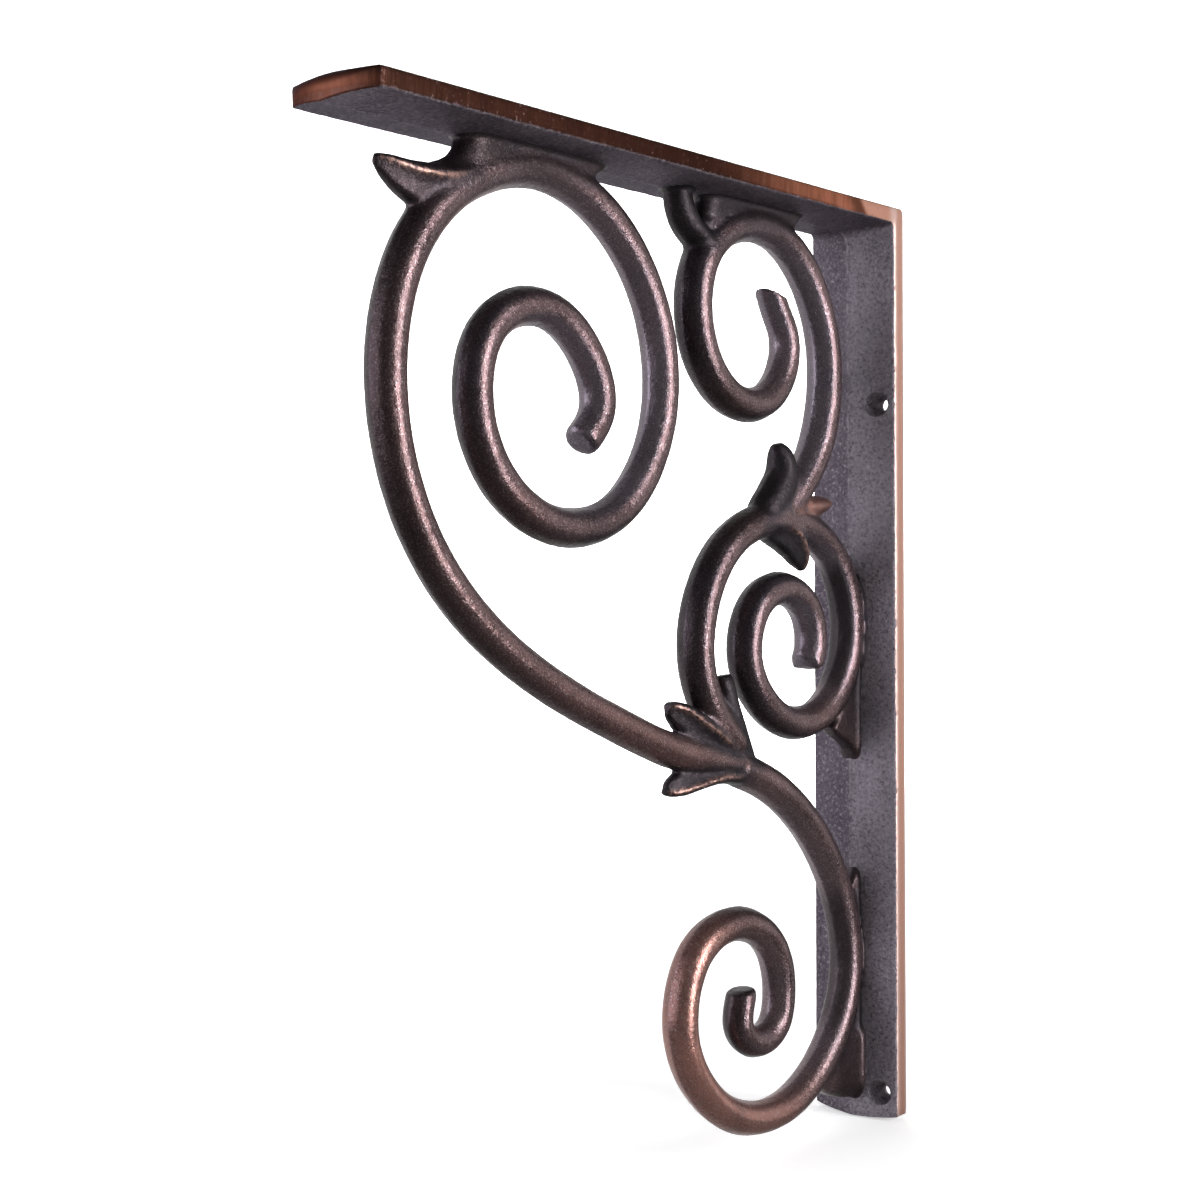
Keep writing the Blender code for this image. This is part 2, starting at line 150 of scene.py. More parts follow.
# leaves where the bars part: the side their crest leans to, how far they are rubbed, and the reach,
# height, half width and half depth at each station
LEAVES = {
    "large_leaf": (1, 0.25, (
        (226.0, -21.0, 4.4, 6.2), (238.0, -25.8, 7.4, 6.6), (247.0, -25.9, 6.7, 6.2),
        (253.4, -24.5, 5.2, 5.0), (258.7, -22.6, 3.8, 3.4), (262.0, -21.2, 2.4, 1.8),
        (263.2, -20.6, 1.4, 0.9))),
    "upper_leaf": (0, 0.05, (
        (104.0, -26.0, 4.6, 6.2), (111.4, -22.0, 4.8, 6.2), (116.7, -16.9, 5.9, 5.6),
        (119.4, -10.5, 5.8, 5.2), (120.2, -5.0, 4.8, 4.8))),
    "joint_leaf_up": (0, 0.0, (
        (76.5, -125.5, 4.4, 5.8), (67.0, -118.6, 7.6, 6.8), (60.0, -111.0, 7.4, 6.9),
        (56.9, -104.0, 6.2, 6.4), (58.0, -98.2, 5.5, 5.2), (59.4, -95.1, 3.8, 3.4),
        (59.8, -93.8, 2.0, 1.8))),
    "joint_leaf_side": (0, 1.0, (
        (56.0, -119.0, 6.0, 5.4), (50.0, -118.0, 3.8, 5.0), (44.0, -117.4, 4.2, 6.0),
        (37.5, -116.8, 4.3, 6.4), (31.5, -116.0, 3.4, 5.6), (27.3, -115.4, 1.8, 3.4),
        (25.6, -115.2, 0.8, 1.4))),
    "joint_leaf_down": (-1, 0.0, (
        (72.5, -123.6, 4.6, 6.2), (62.0, -126.8, 5.8, 6.8), (53.0, -130.6, 6.0, 6.4),
        (46.9, -136.2, 4.6, 4.8), (44.6, -140.0, 2.6, 2.8), (44.2, -141.6, 1.0, 1.2))),
    "stem_leaf_top": (1, 0.1, (
        (92.0, -209.5, 6.0, 5.6), (104.0, -202.5, 6.0, 6.8), (113.5, -196.9, 5.7, 6.2),
        (120.6, -192.4, 5.0, 5.0), (125.4, -190.2, 3.5, 3.4), (127.0, -189.6, 1.8, 1.8))),
    "stem_leaf_side": (0, 0.0, (
        (80.0, -213.5, 3.6, 4.8), (84.0, -206.5, 3.9, 5.2), (89.0, -197.0, 4.4, 5.4),
        (92.6, -187.4, 4.8, 4.4), (93.6, -181.0, 4.4, 3.4), (93.8, -179.2, 3.4, 2.0))),
    "stem_leaf_low": (-1, 0.1, (
        (86.0, -214.2, 5.6, 5.6), (101.0, -213.4, 4.9, 6.6), (112.5, -214.9, 4.5, 6.0),
        (120.6, -216.3, 4.5, 5.0), (126.4, -217.6, 3.1, 3.4), (128.4, -218.0, 1.6, 1.8))),
}

# webs between the scrollwork and the plates: an outline, a half depth, and how far its round edges
# reach in and how deep they are. A point may have its own reach in.
WEBS = {
    "large_arch_web": ((
        (158.0, -4.0), (164.5, -10.6), (172.0, -14.0), (193.0, -13.0), (214.0, -18.0), (240.0, -25.5),
        (247.0, -23.5), (246.0, -20.6, 4.5), (241.0, -18.6, 7.0), (236.0, -16.8, 8.5),
        (232.4, -14.8, 9.0), (230.0, -12.2, 9.0), (228.4, -8.5, 9.0), (228.0, -4.0, 9.0)), 5.7, 3.0, 5.5),
    "upper_arch_web": ((
        (44.0, -4.0), (50.0, -10.6), (54.0, -15.0), (72.0, -14.0), (96.0, -16.0), (106.0, -21.5),
        (109.6, -18.8, 5.0), (108.4, -14.6, 7.0), (107.2, -10.0, 7.0), (106.8, -4.0, 7.0)), 4.9, 2.6, 4.7),
    "middle_web": ((
        (4.0, -144.0), (10.6, -147.0), (16.0, -152.0), (16.0, -190.0), (27.0, -203.0), (24.0, -205.6),
        (17.6, -208.6), (12.6, -212.0), (9.4, -217.0), (4.0, -219.0)), 3.6, 1.6, 2.4),
    "lower_web": ((
        (4.0, -256.0), (10.0, -258.0), (15.0, -268.0), (18.0, -300.0), (34.0, -330.0), (24.0, -334.0),
        (10.0, -336.0), (4.0, -337.0)), 3.0, 1.4, 2.0),
    "foot_web": ((
        (4.0, -318.0), (12.0, -322.0), (26.0, -322.0), (40.0, -333.0), (42.0, -337.0), (37.0, -341.6),
        (29.0, -345.6, 5.0), (21.0, -348.2, 6.5), (14.0, -349.6, 8.0), (4.0, -350.0, 8.0)), 4.8, 3.2, 4.4),
}

# runs of the plates under the scrollwork and half their width, which the inner corners are filled
# against
TOP_BEDS = ((136.0, 240.0, 13.0), (28.0, 132.0, 13.0))
WALL_BEDS = ((132.0, 226.0, 13.0), (236.0, 336.0, 13.0), (336.0, 353.0, 7.4))
BED_SINK = 0.3

# how the inner corners are filled: rounds, share of the bend taken each round, and the bend left be
FILL_ROUNDS = 26
FILL_RATE = 0.55
FILL_FROM = 0.004

# cast unevenness in mm: scrollwork slow and fast, plates slow, and their long edges
SCROLL_SLOW = 0.11
SCROLL_FAST = 0.07
PLATE_SLOW = 0.16
PLATE_EDGE = 0.3

# a leaf's crest: how far it leans as a share of the half width, its spread and its fade from the root
CREST_LEAN = 0.42
CREST_SPREAD = 1.1
CREST_FADE = 9.0

# the camera looks along +Y turned by this much towards -X, and a little down and rolled
CAMERA_YAW = math.radians(40.44)
CAMERA_PITCH = math.radians(0.65)
CAMERA_ROLL = math.radians(-0.32)
CAMERA_LENS = 55.98
CAMERA_SPOT = (0.4037, -0.6362, 0.0338)

# the side the air is brightest on
BRIGHT_SIDE = math.radians(262.0)


def place_in_row(points):
    """Turns (reach, height, side) in mm into places in the frame, in metres."""
    p = np.asarray(points, float)
    return np.stack([p[..., 2], -p[..., 0], p[..., 1] + HEIGHT / 2], axis=-1) * MM


def natural_spline(points):
    """Returns the chord lengths and a function giving place and direction on a natural cubic."""
    p = np.array(points, float)
    d = np.concatenate([[0.0], np.cumsum(np.linalg.norm(np.diff(p, axis=0), axis=1))])
    h = np.diff(d)
    n = len(p)
    a = np.eye(n)
    b = np.zeros_like(p)
    for i in range(1, n - 1):
        a[i, i - 1:i + 2] = (h[i - 1], 2 * (h[i - 1] + h[i]), h[i])
        b[i] = 6 * ((p[i + 1] - p[i]) / h[i] - (p[i] - p[i - 1]) / h[i - 1])
    m = np.linalg.solve(a, b)

    def at(s):
        i = int(np.clip(np.searchsorted(d, s) - 1, 0, n - 2))
        x, y = d[i + 1] - s, s - d[i]
        place = (m[i] * x ** 3 + m[i + 1] * y ** 3) / (6 * h[i])
        place = place + (p[i] / h[i] - m[i] * h[i] / 6) * x + (p[i + 1] / h[i] - m[i + 1] * h[i] / 6) * y
        slope = (m[i + 1] * y ** 2 - m[i] * x ** 2) / (2 * h[i]) + (p[i + 1] - p[i]) / h[i]
        slope = slope - (m[i + 1] - m[i]) * h[i] / 6
        return place, slope / np.linalg.norm(slope)

    return d, at


def scroll_knots(spec):
    """Returns the knots of one scroll: its stem, its turns about the eye and its tail."""
    knots = list(spec["stem"])
    for i, radius in enumerate(spec["radii"]):
        angle = spec["way"] * (math.radians(spec["start"]) + i * KNOT_STEP)
        knots.append((spec["eye"][0] + radius * math.cos(angle), spec["eye"][1] + radius * math.sin(angle)))
    return knots + list(spec["tail"])


def section_loop(crest=0):
    """Returns the closed cross-section of a bar, or of a leaf whose crest leans to one side."""
    near = list(SECTION) + [(-x, y) for x, y in reversed(SECTION[:-1])]
    if crest:
        near = [(crest * x, y) for x, y in LEAF_SECTION]
    return near + [(x, -y) for x, y in reversed(near[1:-1])]


def tube(rings):
    """Returns the points and faces of a closed tube through the given rings."""
    count = len(rings[0])
    points = np.concatenate(rings)
    faces = []
    for k in range(len(rings) - 1):
        for i in range(count):
            j = (i + 1) % count
            faces.append((k * count + i, k * count + j, (k + 1) * count + j, (k + 1) * count + i))
    last = (len(rings) - 1) * count
    faces.append(tuple(range(count))[::-1])
    faces.append(tuple(last + i for i in range(count)))
    return points, faces


def ring_at(place, way, loop, half_width, half_depth, slant=0.0):
    """Returns one cross-section across the line, square to it or slanted."""
    rows = []
    for x, y in loop:
        out = x * half_width
        ahead = out * slant
        rows.append((place[0] - way[1] * out + way[0] * ahead, place[1] + way[0] * out + way[1] * ahead,
                     y * half_depth))
    return np.array(rows)


def bar(spec):
    """Sweeps the cross-section along one scroll, with a round start and a shaped end."""
    d, at = natural_spline(scroll_knots(spec))
    widths = spec["half_width"]
    ratio = spec["depth_ratio"]
    marks = np.linspace(0.0, d[-1], len(widths))
    loop = section_loop()
    first, way = at(0.0)
    rings = []
    for turn in START_TURNS:
        half = widths[0] * math.sin(turn)
        place = first - way * widths[0] * START_REACH * math.cos(turn)
        rings.append(ring_at(place, way, loop, half, half * ratio))
    for s in np.linspace(0.0, d[-1], int(d[-1] / RING) + 1):
        place, way = at(s)
        half = float(np.interp(s, marks, widths))
        rings.append(ring_at(place, way, loop, half, half * ratio))
    last, way = at(d[-1])
    for ahead, slant, wide, deep in spec["end"]:
        half = widths[-1]
        rings.append(ring_at(last + way * ahead, way, loop, half * wide, half * deep * ratio, slant))
    return tube(rings)


def leaf(crest, rows):
    """Lofts a leaf through unlike cross-sections, smoothly from root to tip."""
    d, at = natural_spline([row[:2] for row in rows])
    loop = section_loop(crest)
    near = np.linspace(-1.5, 1.5, 7)
    rings = []
    for s in np.linspace(0.0, d[-1], int(d[-1] / (RING * 0.6)) + 1):
        place, way = at(s)
        ease = min(1.0, s / 1.5, (d[-1] - s) / 1.5)
        sizes = [float(np.mean(np.interp(s + near * ease, d, [row[k] for row in rows]))) for k in (2, 3)]
        rings.append(ring_at(place, way, loop, sizes[0], sizes[1]))
    return tube(rings)


def drawn_in(outline, inset, share):
    """Returns a closed outline moved inwards by a share of the inset, or of a point's own."""
    p = np.array([spot[:2] for spot in outline], float)
    reach = np.array([spot[2] if len(spot) > 2 else inset for spot in outline])[:, None] * share
    area = np.sum(p[:, 0] * np.roll(p[:, 1], -1) - np.roll(p[:, 0], -1) * p[:, 1])
    before = p - np.roll(p, 1, axis=0)
    after = np.roll(p, -1, axis=0) - p
    before /= np.linalg.norm(before, axis=1)[:, None]
    after /= np.linalg.norm(after, axis=1)[:, None]
    square = np.stack([-(before + after)[:, 1], (before + after)[:, 0]], axis=1)
    square /= np.linalg.norm(square, axis=1)[:, None]
    return p + square * reach * (1.0 if area > 0 else -1.0)


def slab(outline, half_depth, inward, deep):
    """Returns a flat outline thickened to both sides, with round edges."""
    rings = []
    for turn in np.linspace(-math.pi / 2, math.pi / 2, 14):
        side = math.copysign(half_depth - deep, turn) + deep * math.sin(turn)
        p = drawn_in(outline, inward, 1 - math.cos(turn))
        rings.append(np.array([(u, z, side) for u, z in p]))
    return tube(rings)


def plate_depth(side, edge, ridge):
    """Returns a plate's thickness at a place across its width."""
    return ridge + (edge - ridge) * abs(side) / HALF


def bed(start, end, half, edge, ridge, upright):
    """Returns a strip of a plate's cast face, sunk a little below it."""
    rings = []
    for along in (start, end):
        loop = [(-half, 2.0)]
        loop += [(x, plate_depth(x, edge, ridge) - BED_SINK) for x in (-half, 0.0, half)]
        loop += [(half, 2.0)]
        rings.append(np.array([(depth, -along, x) if upright else (along, -depth, x) for x, depth in loop]))
    return tube(rings)


def mesh_object(name, shapes):
    """Makes one mesh object out of several (points, faces)."""
    points = []
    faces = []
    start = 0
    for part_points, part_faces in shapes:
        points.append(part_points)
        faces += [tuple(start + i for i in face) for face in part_faces]
        start += len(part_points)
    mesh = bpy.data.meshes.new(name)
    mesh.from_pydata(place_in_row(np.concatenate(points)).tolist(), [], faces)
    bm = bmesh.new()
    bm.from_mesh(mesh)
    bmesh.ops.recalc_face_normals(bm, faces=bm.faces)
    bm.to_mesh(mesh)
    bm.free()
    obj = bpy.data.objects.new(name, mesh)
    bpy.context.scene.collection.objects.link(obj)
    return obj


def bake(obj):
    """Bakes an object's modifiers into its mesh."""
    bpy.context.view_layer.update()
    mesh = bpy.data.meshes.new_from_object(obj.evaluated_get(bpy.context.evaluated_depsgraph_get()))
    obj.modifiers.clear()
    old = obj.data
    obj.data = mesh
    bpy.data.meshes.remove(old)


class Skin:
    """The points of a mesh as an array, with the averages and the bends at each of them."""

    def __init__(self, mesh):
        self.mesh = mesh
        self.n = len(mesh.vertices)
        self.co = np.empty(self.n * 3)
        mesh.vertices.foreach_get("co", self.co)
        self.co = self.co.reshape(-1, 3)
        edges = np.empty(len(mesh.edges) * 2, int)
        mesh.edges.foreach_get("vertices", edges)
        self.a, self.b = edges.reshape(-1, 2).T
        self.count = np.bincount(self.a, minlength=self.n) + np.bincount(self.b, minlength=self.n)
        self.count = np.maximum(self.count, 1)

    def mean(self, value):
        """Returns the mean of a value over each point's neighbours."""
        value = value.reshape(self.n, -1)
        out = np.empty_like(value)
        for k in range(value.shape[1]):
            out[:, k] = np.bincount(self.a, value[self.b, k], self.n)
            out[:, k] += np.bincount(self.b, value[self.a, k], self.n)
        return out / self.count[:, None]

    def normals(self):
        """Returns the unit normals of the points."""
        self.write()
        out = np.empty(self.n * 3, np.float32)
        self.mesh.vertex_normals.foreach_get("vector", out)
        return out.reshape(-1, 3).astype(float)

    def write(self):
        """Writes the points back to the mesh."""
        self.mesh.vertices.foreach_set("co", self.co.ravel())
        self.mesh.update()


def fill_creases(skin, rounds, rate):
    """Fills the inner corners of a mesh as molten iron does, and leaves its outer edges be."""
    for step in range(rounds):
        if step % 4 == 0:
            normal = skin.normals()
        lap = skin.mean(skin.co) - skin.co
        rise = np.einsum("ij,ij->i", lap, normal)
        rise = np.maximum(rise - FILL_FROM * MM, 0.0) * rate
        skin.co += normal * rise[:, None]


def soften(skin, rounds):
    """Takes the steps out of a mesh without shrinking it."""
    for _ in range(rounds):
        for rate in (0.5, -0.52):
            skin.co += (skin.mean(skin.co) - skin.co) * rate


def bends(skin, spread):
    """Returns how far each point stands out from its neighbours, spread over them, in mm."""
    normal = skin.normals()
    lap = skin.mean(skin.co) - skin.co
    out = -np.einsum("ij,ij->i", lap, normal) / MM
    for _ in range(spread):
        out = skin.mean(out)[:, 0] * 0.6 + out * 0.4
    return out


def note(mesh, name, values):
    """Stores one number a point on a mesh."""
    layer = mesh.attributes.new(name, "FLOAT", "POINT")
    layer.data.foreach_set("value", np.asarray(values, np.float32))


def waver(points, scale, seed):
    """Returns a soft noise from -1 to 1 at each point."""
    shift = Vector((seed * 7.3, seed * 3.1, seed * 5.7))
    return np.array([noise.noise(Vector(p) * scale + shift) for p in points])


def nearest(spots, points):
    """Returns the row of the nearest spot in the plane of the scrolls, and how far off it is in mm."""
    tree = KDTree(len(spots))
    for i, (u, z) in enumerate(spots):
        tree.insert((0.0, -u * MM, (z + HEIGHT / 2) * MM), i)
    tree.balance()
    found = [tree.find((0.0, y, z)) for _, y, z in points]
    return np.array([f[1] for f in found]), np.array([f[2] for f in found]) / MM


def wear_of(points, normals):
    """Returns the rub, how much a point is leaf, how near a leaf's crest, and if it faces into its curl."""
    spots = []
    rubs = []
    eyes = []
    for spec in SCROLLS.values():
        d, at = natural_spline(scroll_knots(spec))
        marks = np.linspace(0.0, d[-1], len(spec["rub"]))
        for s in np.linspace(0.0, d[-1], int(d[-1] / 4.0)):
            spots.append(tuple(at(s)[0]))
            rubs.append(float(np.interp(s, marks, spec["rub"])))
            eyes.append((-spec["eye"][0] * MM, (spec["eye"][1] + HEIGHT / 2) * MM))
    bars, off_bar = nearest(spots, points)
    spots = []
    leaf_rubs = []
    lines = []
    for crest, rub, rows in LEAVES.values():
        d, at = natural_spline([row[:2] for row in rows])
        for s in np.linspace(0.0, d[-1], int(d[-1] / 0.8)):
            place, way = at(s)
            spots.append(tuple(place))
            leaf_rubs.append(rub)
            across = float(np.interp(s, d, [row[2] for row in rows]))
            fade = min(1.0, s / CREST_FADE)
            lines.append((-way[1], way[0], place[0], place[1], across, crest * CREST_LEAN, fade))
    leaves, off_leaf = nearest(spots, points)
    leafy = np.clip((off_bar - off_leaf) / 3.0 + 0.4, 0.0, 1.0) * np.clip((11.0 - off_leaf) / 3.0, 0.0, 1.0)
    rub = np.array(rubs)[bars] * (1.0 - leafy) + np.array(leaf_rubs)[leaves] * leafy
    line = np.array(lines)[leaves]
    u, z = -points[:, 1] / MM, points[:, 2] / MM - HEIGHT / 2
    off = (u - line[:, 2]) * line[:, 0] + (z - line[:, 3]) * line[:, 1] - line[:, 5] * line[:, 4]
    crests = np.exp(-(off / CREST_SPREAD) ** 2) * leafy * line[:, 6]
    crests *= (line[:, 5] != 0) & (np.abs(points[:, 0]) > 1.2 * MM)
    to_eye = np.array(eyes)[bars] - points[:, 1:]
    to_eye /= np.maximum(np.linalg.norm(to_eye, axis=1), 1e-6)[:, None]
    return rub, leafy, crests, np.einsum("ij,ij->i", to_eye, normals[:, 1:])


def make_scrollwork():
    """Builds the scrolls, leaves and webs as one casting, with the inner corners filled."""
    shapes = [bar(spec) for spec in SCROLLS.values()]
    shapes += [leaf(crest, rows) for crest, _, rows in LEAVES.values()]
    shapes += [slab(*web) for web in WEBS.values()]
    shapes += [bed(*run, TOP_EDGE, TOP_RIDGE, False) for run in TOP_BEDS]
    shapes += [bed(*run, WALL_EDGE, WALL_RIDGE, True) for run in WALL_BEDS]
    obj = mesh_object("bracket_scrollwork", shapes)
    mod = obj.modifiers.new("voxels", "REMESH")
    mod.mode = "VOXEL"
    mod.voxel_size = VOXEL * MM
    bake(obj)
    skin = Skin(obj.data)
    soften(skin, 1)
    fill_creases(skin, FILL_ROUNDS, FILL_RATE)
    soften(skin, 1)
    normal = skin.normals()
    drift = waver(skin.co, 55.0, 1) * SCROLL_SLOW + waver(skin.co, 170.0, 2) * SCROLL_FAST
    skin.co += normal * (np.minimum(drift, 0.05) * MM)[:, None]
    skin.write()
    mod = obj.modifiers.new("fewer", "DECIMATE")
    mod.ratio = min(1.0, MOST_TRIANGLES / (2 * len(obj.data.polygons)))
    bake(obj)
    skin = Skin(obj.data)
    note(obj.data, "bend", bends(skin, 3))
    for name, values in zip(("rub", "leafy", "leaf_crest", "inward"), wear_of(skin.co, skin.normals())):
        values = skin.mean(values)
        if name != "leaf_crest":
            values = skin.mean(values)
        note(obj.data, name, values[:, 0])
    obj.data.shade_smooth()
    return obj


def bowed(side, length, bulge):
    """Returns how far an end bowed out in an arc reaches at a place across its width."""
    radius = (HALF ** 2 + bulge ** 2) / (2 * bulge)
    return length + bulge - radius + math.sqrt(radius ** 2 - side ** 2)


def plate_stations():
    """Returns functions giving the outer and inner place of the angle at each station along it."""
    out = []

    def top(v):
        def at(x):
            u = CORNER_RUN + (bowed(x, REACH, END_BULGE) - CORNER_RUN) * v
            return (u, 0.0), (u, -plate_depth(x, TOP_EDGE, TOP_RIDGE))
        return at

    def bend(turn):
        def at(x):
            t_top = plate_depth(x, TOP_EDGE, TOP_RIDGE)
            t_wall = plate_depth(x, WALL_EDGE, WALL_RIDGE)
            c, s = math.cos(turn), math.sin(turn)
            fillet = CORNER_FILLET - EDGE_FILLET_CUT * (x / HALF) ** 2
            outer = (CORNER_ROUND * (1 - s), -CORNER_ROUND * (1 - c))
            inner = (t_wall + fillet * (1 - s), -t_top - fillet * (1 - c))
            return outer, inner
        return at

    def wall(v):
        def at(x):
            z = -CORNER_RUN - (bowed(x, HEIGHT, FOOT_BULGE) - CORNER_RUN) * v
            return (0.0, z), (plate_depth(x, WALL_EDGE, WALL_RIDGE), z)
        return at

    for v in np.linspace(1.0, 0.0, int((REACH - CORNER_RUN) / ALONG)):
        out.append(top(v))
    for turn in np.linspace(0.0, math.pi / 2, 10):
        out.append(bend(turn))
    for v in np.linspace(0.0, 1.0, int((HEIGHT - CORNER_RUN) / ALONG)):
        out.append(wall(v))
    return out


def plate_loop():
    """Returns the closed loop round the plates: place across, which face, depth below it."""
    flat = HALF - EDGE_ROUND
    turns = [math.pi / 2 * (i + 1) / EDGE_STEPS for i in range(EDGE_STEPS)]
    loop = [(x, "outer", 0.0) for x in np.linspace(-flat, flat, ACROSS + 1)]
    loop += [(flat + EDGE_ROUND * math.sin(t), "outer", EDGE_ROUND * (1 - math.cos(t))) for t in turns]
    loop += [(HALF, "side", (i + 1) / SIDE_STEPS) for i in range(SIDE_STEPS - 1)]
    loop += [(flat + EDGE_ROUND * math.cos(t - math.pi / 2 / EDGE_STEPS), "inner",
              EDGE_ROUND * (1 - math.sin(t - math.pi / 2 / EDGE_STEPS))) for t in turns]
    loop += [(x, "inner", 0.0) for x in np.linspace(flat, -flat, ACROSS + 1)]
    loop += [(-flat - EDGE_ROUND * math.sin(t), "inner", EDGE_ROUND * (1 - math.cos(t))) for t in turns]
    loop += [(-HALF, "side", 1.0 - (i + 1) / SIDE_STEPS) for i in range(SIDE_STEPS - 1)]
    loop += [(-flat - EDGE_ROUND * math.cos(t - math.pi / 2 / EDGE_STEPS), "outer",
              EDGE_ROUND * (1 - math.sin(t - math.pi / 2 / EDGE_STEPS))) for t in turns]
    return loop


def end_round(x, face, top_end):
    """Returns the radius an end edge is rounded to. The front top edge is ground off at its middle."""
    if top_end and face == "outer":
        return 0.9 + 3.4 * max(0.0, 1.0 - (x / HALF) ** 2) ** 0.8
    return EDGE_ROUND


def plate_point(at, x, face, depth, quarter, top_end):
    """Returns one point of the plates. A quarter over 0 draws it in towards an end face."""
    draw = end_round(x, face, top_end) * (1 - math.cos(quarter))
    x = x * (HALF - min(draw, EDGE_ROUND)) / HALF
    outer, inner = (np.array(p, float) for p in at(x))
    gap = inner - outer
    length = float(np.linalg.norm(gap))
    if face == "side":
        low = (EDGE_ROUND + (length - 2 * EDGE_ROUND) * depth) / length
    elif face == "outer":
        low = (depth + draw) / length
    else:
        low = 1.0 - (depth + draw) / length
    spot = outer + gap * low
    return spot, x


def make_plates():
    """Builds the wall plate and the top plate as one angle with its screw holes."""
    loop = plate_loop()
    count = len(loop)
    ways = plate_stations()
    front = (np.array([-1.0, 0.0]), True)
    foot = (np.array([0.0, 1.0]), False)
    quarters = np.linspace(math.pi / 2, 0.0, 6)[:-1]
    stations = [(ways[0], q, front) for q in quarters]
    stations += [(at, None, None) for at in ways[2:-2]]
    stations += [(ways[-1], q, foot) for q in quarters[::-1]]
    rings = []
    for at, quarter, end in stations:
        ring = []
        for x, face, depth in loop:
            if quarter is None:
                spot, side = plate_point(at, x, face, depth, 0.0, False)
            else:
                spot, side = plate_point(at, x, face, depth, quarter, end[1])
                spot = spot + end[0] * (end_round(x, face, end[1]) * (1 - math.sin(quarter)))
            ring.append((spot[0], spot[1], side))
        rings.append(np.array(ring))
    points = np.concatenate(rings)
    faces = []
    for k in range(len(rings) - 1):
        for i in range(count):
            j = (i + 1) % count
            faces.append((k * count + i, k * count + j, (k + 1) * count + j, (k + 1) * count + i))
    inner_start = ACROSS + 1 + EDGE_STEPS + SIDE_STEPS - 1 + EDGE_STEPS
    for k in (0, len(rings) - 1):
        base = k * count
        for i in range(ACROSS):
            facing = base + inner_start + ACROSS - i
            faces.append((base + i, base + i + 1, facing - 1, facing))
        faces.append(tuple(base + i for i in range(ACROSS, inner_start + 1)))
        faces.append(tuple(base + i for i in range(inner_start + ACROSS, count)) + (base,))
    obj = mesh_object("bracket_plates", [(points, faces)])
    roughen_plates(obj.data)
    drill = make_drill()
    mod = obj.modifiers.new("holes", "BOOLEAN")
    mod.operation = "DIFFERENCE"
    mod.solver = "EXACT"
    mod.object = drill
    bake(obj)
    bpy.data.objects.remove(drill)
    obj.data.shade_smooth()
    obj.data.set_sharp_from_angle(angle=math.radians(34.0))
    return obj


def roughen_plates(mesh):
    """Gives the cast faces their slight unevenness, always inwards. The wall and top faces stay flat."""
    skin = Skin(mesh)
    normal = skin.normals()
    x, y, z = skin.co.T / MM
    cast = (y < -0.4) & (z < HEIGHT / 2 - 0.4)
    edge = np.clip((np.abs(x) - HALF + 2.5) / 2.0, 0.0, 1.0)
    inside = np.clip(-normal[:, 1] * 2.0, 0.0, 1.0) + np.clip(-normal[:, 2] * 2.0, 0.0, 1.0)
    slow = waver(skin.co, 60.0, 3) * 0.5 + 0.5
    fast = waver(skin.co, 330.0, 4) * 0.5 + 0.5
    sink = (PLATE_SLOW * slow + edge * PLATE_EDGE * fast ** 2) * np.minimum(inside, 1.0) * cast
    skin.co -= normal * (sink * MM)[:, None]
    skin.write()


def make_drill():
    """Turns the tool that cuts the countersunk screw holes."""
    shapes = []
    for drop in HOLE_DROPS:
        for side in (-HOLE_OFFSET, HOLE_OFFSET):
            face = plate_depth(side, WALL_EDGE, WALL_RIDGE)
            grow = (SINK_DIAMETER - HOLE_DIAMETER) / 2 / SINK_DEPTH
            throat = HOLE_DIAMETER / 2
            wide = SINK_DIAMETER / 2
            profile = ((throat, -3.0), (throat, face - SINK_DEPTH), (wide, face - 0.25),
                       (wide + 0.35, face + 0.05), (wide + 0.35 + grow * 3.0, face + 3.0))
            rings = []
            for radius, reach in profile:
                turns = [2 * math.pi * i / HOLE_STEPS for i in range(HOLE_STEPS)]
                rings.append(np.array([(reach, -drop + radius * math.sin(t), side + radius * math.cos(t))
                                       for t in turns]))
            shapes.append(tube(rings))
    return mesh_object("drill", shapes)


